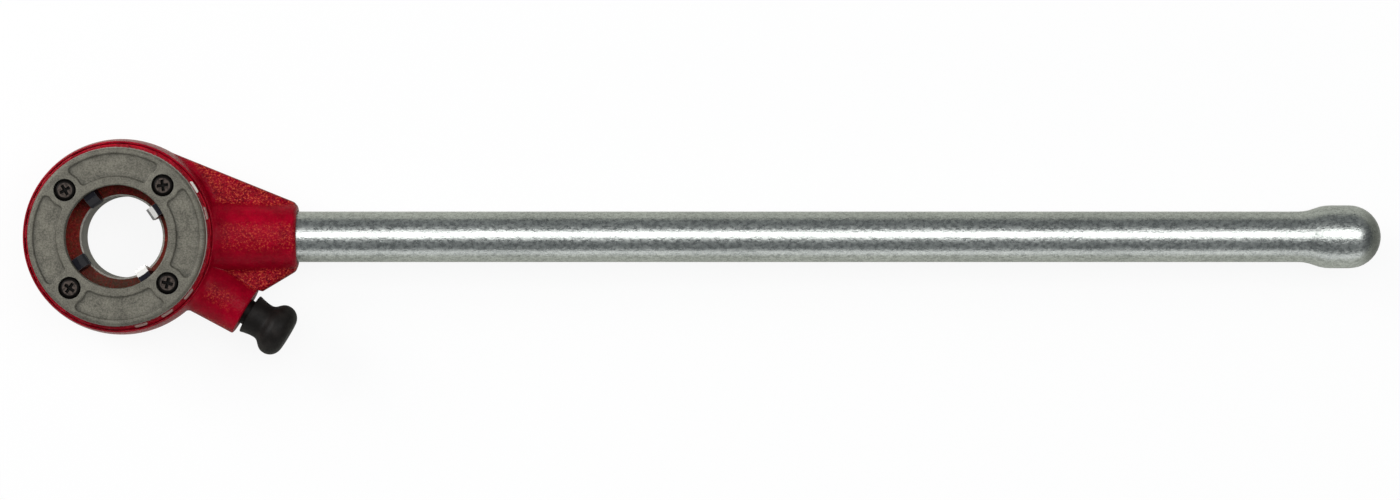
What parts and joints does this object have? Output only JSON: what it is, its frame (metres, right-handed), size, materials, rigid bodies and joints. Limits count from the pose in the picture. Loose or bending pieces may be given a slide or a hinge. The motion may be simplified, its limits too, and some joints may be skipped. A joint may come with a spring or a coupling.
{
  "type": "ratchet pipe threader with die head",
  "caption": "Hand ratchet threader for pipe: a round die head turns in a cast ratchet ring with a spring pawl and a long pipe handle.",
  "frame": {"origin": "on the die head's bore axis, at the back face of the pipe guide, on which the tool stands", "axes": "+Z along the bore axis from the pipe guide to the cover plate, +X along the handle"},
  "size_m": [0.716, 0.1138, 0.056],
  "materials": {
    "red_paint": "glossy red paint over rough cast iron",
    "zinc_plate": "zinc-plated drawn pipe",
    "cover_casting": "smooth bare casting, satin",
    "black_screw": "black oxide",
    "die_steel": "hardened steel, ground on the tips",
    "black_knob": "satin black",
    "spring_steel": "plain oiled steel"
  },
  "bodies": {
    "ratchet": {"ratchet_housing": "red_paint", "handle": "zinc_plate", "retaining_ring": "spring_steel"},
    "die_head": {"die_head_body": "red_paint", "cover_plate": "cover_casting", "die_1": "die_steel", "die_2": "die_steel", "die_3": "die_steel", "die_4": "die_steel", "cover_screw_1": "black_screw", "cover_screw_2": "black_screw", "cover_screw_3": "black_screw", "cover_screw_4": "black_screw"},
    "pawl_carrier": {"pawl_spring": "spring_steel"},
    "pawl": {"pawl": "spring_steel", "pawl_knob": "black_knob", "knob_pin": "spring_steel"}
  },
  "joints": [
    {"name": "die_head_turn", "type": "hinge", "parent": "ratchet", "child": "die_head", "pos_m": [0, 0, 0], "axis": [0, 0, 1], "continuous": true},
    {"name": "pawl_turn", "type": "hinge", "parent": "ratchet", "child": "pawl_carrier", "pos_m": [0, 0, 0.028], "axis": [0.8572, -0.515, 0], "range_deg": [0, 180]},
    {"name": "pawl_pull", "type": "slide", "parent": "pawl_carrier", "child": "pawl", "axis": [0.8572, -0.515, 0], "range_m": [-0.0021, 0.004], "stiffness_N_per_m": 3000, "springref_m": -0.008, "deforming": ["pawl_spring"]}
  ]
}
